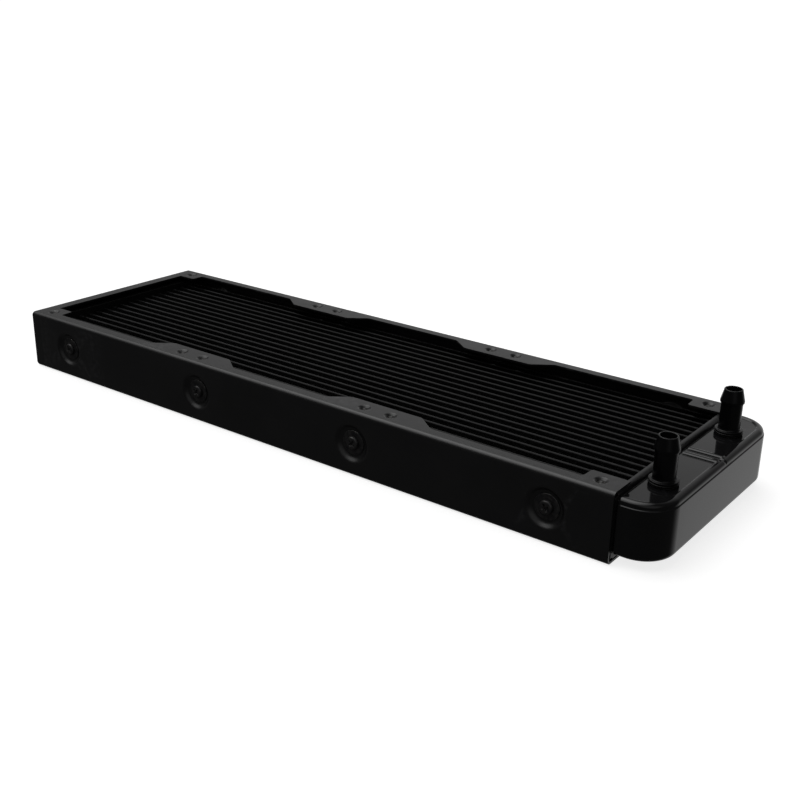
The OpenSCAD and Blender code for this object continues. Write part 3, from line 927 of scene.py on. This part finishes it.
# ---------------------------------------------------------------- rail fasteners

# head: radius, radius of its flat top, how far the top lies below the rail's face, height of its straight
# side, and the soft edge under it
HEAD_R = 3.3
HEAD_FLAT_R = 2.3
HEAD_BELOW = 0.02
HEAD_SIDE = 0.25
HEAD_EDGE = 0.1

# cross recess: half length, half width, and the share of them left at each depth
CROSS_L = 1.85
CROSS_W = 0.48
CROSS_DEPTH = 0.9
CROSS_STEPS = [(1.0, 0.0), (0.8, 0.6), (0.5, CROSS_DEPTH)]

# shank: radius, how far past the sheet it ends, chamfer at its end
SHANK_R = 1.5
SHANK_PAST = 1.0
SHANK_TIP = 0.3

# washer: gap round the shank, its outer edge from the underside and from the top, as (inwards, away), and
# the bevel of its hole
WASHER_GAP = 0.15
WASHER_LOW = [(0.1, 0.0), (0.0, 0.12)]
WASHER_TOP = [(0.0, 0.16), (0.16, 0.04), (0.4, 0.0)]
WASHER_BEVEL = (0.2, 0.1)


def at_dimples():
    """For every dimple, a function from (across, along, outwards) to the frame."""
    places = []
    for side in (-1, 1):
        for x0 in DIMPLE_XS:
            turn = Matrix.Rotation(random.uniform(0, math.tau), 2)
            places.append(lambda u, v, w, side=side, x0=x0, turn=turn: (
                x0 + (turn @ Vector((u, v))).x, side * (FACE_Y - DIMPLE_DEPTH + w),
                MID_Z + (turn @ Vector((u, v))).y))
    return places


def cross_loop(scale):
    """Outline of a cross recess."""
    a, b = CROSS_L * scale, CROSS_W * scale
    quarter = [(a, -b), (a, b), (b, b)]
    return [(x * c - y * s, x * s + y * c) for c, s in ((1, 0), (0, 1), (-1, 0), (0, -1))
            for x, y in quarter]


def rail_screws(places):
    """Round heads with a cross recess, on short shanks."""
    skin = Skin()
    seat = washer_hi.y - (FACE_Y - DIMPLE_DEPTH)
    top = DIMPLE_DEPTH - HEAD_BELOW
    rise = top - seat
    shoulder = [(HEAD_FLAT_R + (HEAD_R - HEAD_FLAT_R) * math.sin(a),
                 seat + HEAD_SIDE + (rise - HEAD_SIDE) * math.cos(a)) for a in SIX_STEPS]
    tail = -(SHEET + SHANK_PAST)
    below = [(HEAD_R, seat + HEAD_EDGE), (HEAD_R - HEAD_EDGE, seat), (SHANK_R, seat),
             (SHANK_R, tail + SHANK_TIP), (SHANK_R - SHANK_TIP, tail), (0, tail)]
    for place in places:
        skin.region(circle((0, 0), HEAD_FLAT_R, HOLE_STEPS), [cross_loop(CROSS_STEPS[0][0])],
                    lambda u, v: place(u, v, top))
        skin.rows([[place(u, v, top - depth) for u, v in cross_loop(share)]
                   for share, depth in CROSS_STEPS], closed=True)
        skin.region(cross_loop(CROSS_STEPS[-1][0]), [], lambda u, v: place(u, v, top - CROSS_DEPTH))
        skin.revolve(shoulder + below, place, HOLE_STEPS)
    return make("rail_screws", skin, screw_black, ["rail_screws"], (0, 0, 0), closed=True,
                edge=0.06, sharp=50)


def rail_washers(places):
    """Flat washers with softened edges, under the screw heads."""
    skin = Skin()
    r = (washer_hi.z - washer_lo.z) / 2
    thick = washer_hi.y - (FACE_Y - DIMPLE_DEPTH)
    hole = SHANK_R + WASHER_GAP
    profile = [(hole, 0)] + [(r - inwards, up) for inwards, up in WASHER_LOW]
    profile += [(r - inwards, thick - down) for inwards, down in WASHER_TOP]
    profile += [(hole + WASHER_BEVEL[0], thick), (hole, thick - WASHER_BEVEL[1]), (hole, 0)]
    for place in places:
        skin.revolve(profile, place, 64)
    return make("rail_washers", skin, washer_black, ["rail_washers"], (0, 0, 0),
                closed=True)


# ---------------------------------------------------------------- build

random.seed(7)
side_rail("front_side_rail", -1)
side_rail("rear_side_rail", 1)
end_cover()
port_header()
return_header()
return_tank()
for tube in TUBES:
    flat_tube(tube)
fin_strips()
for plate in ("front_core_plate", "rear_core_plate"):
    core_plate(plate)
port_tank()
tank_gasket()
for barb in ("inlet_barb", "outlet_barb"):
    hose_barb(barb)
    barb_seal(barb + "_seal")
dimple_places = at_dimples()
rail_screws(dimple_places)
rail_washers(dimple_places)

divider = frame["nodes"]["tank_divider"]
divider.data.materials.clear()
divider.data.materials.append(tank_gloss)

# ---------------------------------------------------------------- floor, light and camera


def studio_floor():
    """A wide pale floor that stays plain white and takes a faint soft shadow."""
    mesh = bpy.data.meshes.new("floor")
    size, gap = 30.0, 0.0002
    mesh.from_pydata([(-size, -size, 0), (size, -size, 0), (size, size, 0), (-size, size, 0)], [],
                     [(0, 1, 2, 3)])
    floor = bpy.data.objects.new("floor", mesh)
    floor.location.z = -gap
    bpy.context.scene.collection.objects.link(floor)
    material = bpy.data.materials.new("floor")
    material.use_nodes = True
    shader = material.node_tree.nodes["Principled BSDF"]
    shader.inputs["Base Color"].default_value = (0.5, 0.5, 0.5, 1)
    shader.inputs["Roughness"].default_value = 1.0
    shader.inputs["Specular IOR Level"].default_value = 0.0
    shader.inputs["Emission Color"].default_value = (1, 1, 1, 1)
    shader.inputs["Emission Strength"].default_value = 0.8
    mesh.materials.append(material)
    floor.visible_glossy = False
    floor.visible_diffuse = False


# soft bright areas of the studio: direction, full within, gone beyond (degrees), strength. For the camera
# the first shows in the tank's end wall, the second in the folds and the third in the flat upper faces; the
# last one is for views from behind
GLOWS = [((-0.157, 0.893, -0.423), 10, 62, 0.52),
         ((-0.4, -0.15, 0.9), 13, 42, 1.5),
         ((-0.45, 0.8, 0.36), 10, 60, 0.21),
         ((0.5, -0.55, 0.55), 8, 40, 0.25)]
AMBIENT = 0.05


def world_light():
    """A dark studio surround with a few soft bright areas."""
    world = bpy.data.worlds.new("studio")
    bpy.context.scene.world = world
    world.use_nodes = True
    tree = world.node_tree
    coords = tree.nodes.new("ShaderNodeTexCoord").outputs["Generated"]
    total = None
    for direction, full, gone, strength in GLOWS:
        toward = tree.nodes.new("ShaderNodeVectorMath")
        toward.operation = "DOT_PRODUCT"
        toward.inputs[1].default_value = Vector(direction).normalized()
        tree.links.new(coords, toward.inputs[0])
        glow = tree.nodes.new("ShaderNodeMapRange")
        glow.interpolation_type = "SMOOTHSTEP"
        glow.inputs["From Min"].default_value = math.cos(math.radians(gone))
        glow.inputs["From Max"].default_value = math.cos(math.radians(full))
        glow.inputs["To Min"].default_value = 0.0
        glow.inputs["To Max"].default_value = strength
        tree.links.new(toward.outputs["Value"], glow.inputs["Value"])
        add = tree.nodes.new("ShaderNodeMath")
        add.inputs[0].default_value = AMBIENT
        if total is not None:
            tree.links.new(total, add.inputs[0])
        tree.links.new(glow.outputs["Result"], add.inputs[1])
        total = add.outputs["Value"]
    tree.links.new(total, tree.nodes["Background"].inputs["Color"])


def softbox(name, place, aim, size, power):
    """A rectangular lamp that the camera doesn't see."""
    light = bpy.data.lights.new(name, "AREA")
    light.shape = "RECTANGLE"
    light.size, light.size_y = size
    light.energy = power
    box_light = bpy.data.objects.new(name, light)
    box_light.location = place
    box_light.rotation_euler = (Vector(aim) - Vector(place)).to_track_quat("-Z", "Y").to_euler()
    box_light.visible_camera = False
    bpy.context.scene.collection.objects.link(box_light)


def camera():
    """Looks down on the radiator from the front, towards the return end."""
    target = Vector((33.1, 0.0, 14.7)) * MM
    azimuth, elevation, roll = math.radians(36.86), math.radians(21.56), math.radians(1.09)
    distance = 570.1 * MM
    ahead = Vector((-math.sin(azimuth) * math.cos(elevation), math.cos(azimuth) * math.cos(elevation),
                    -math.sin(elevation)))
    lens = bpy.data.cameras.new("camera")
    lens.lens = 51.0
    lens.sensor_width = 36.0
    lens.clip_start = 0.01
    view = bpy.data.objects.new("camera", lens)
    turn = ahead.to_track_quat("-Z", "Y").to_matrix().to_4x4() @ Matrix.Rotation(roll, 4, "Z")
    view.matrix_world = Matrix.Translation(target - ahead * distance) @ turn
    bpy.context.scene.collection.objects.link(view)
    bpy.context.scene.camera = view


studio_floor()
world_light()
softbox("top_softbox", (-0.5, 0.3, 1.3), (0, 0, 0), (1.2, 1.2), 4)
camera()
bpy.context.scene.view_settings.view_transform = "Standard"
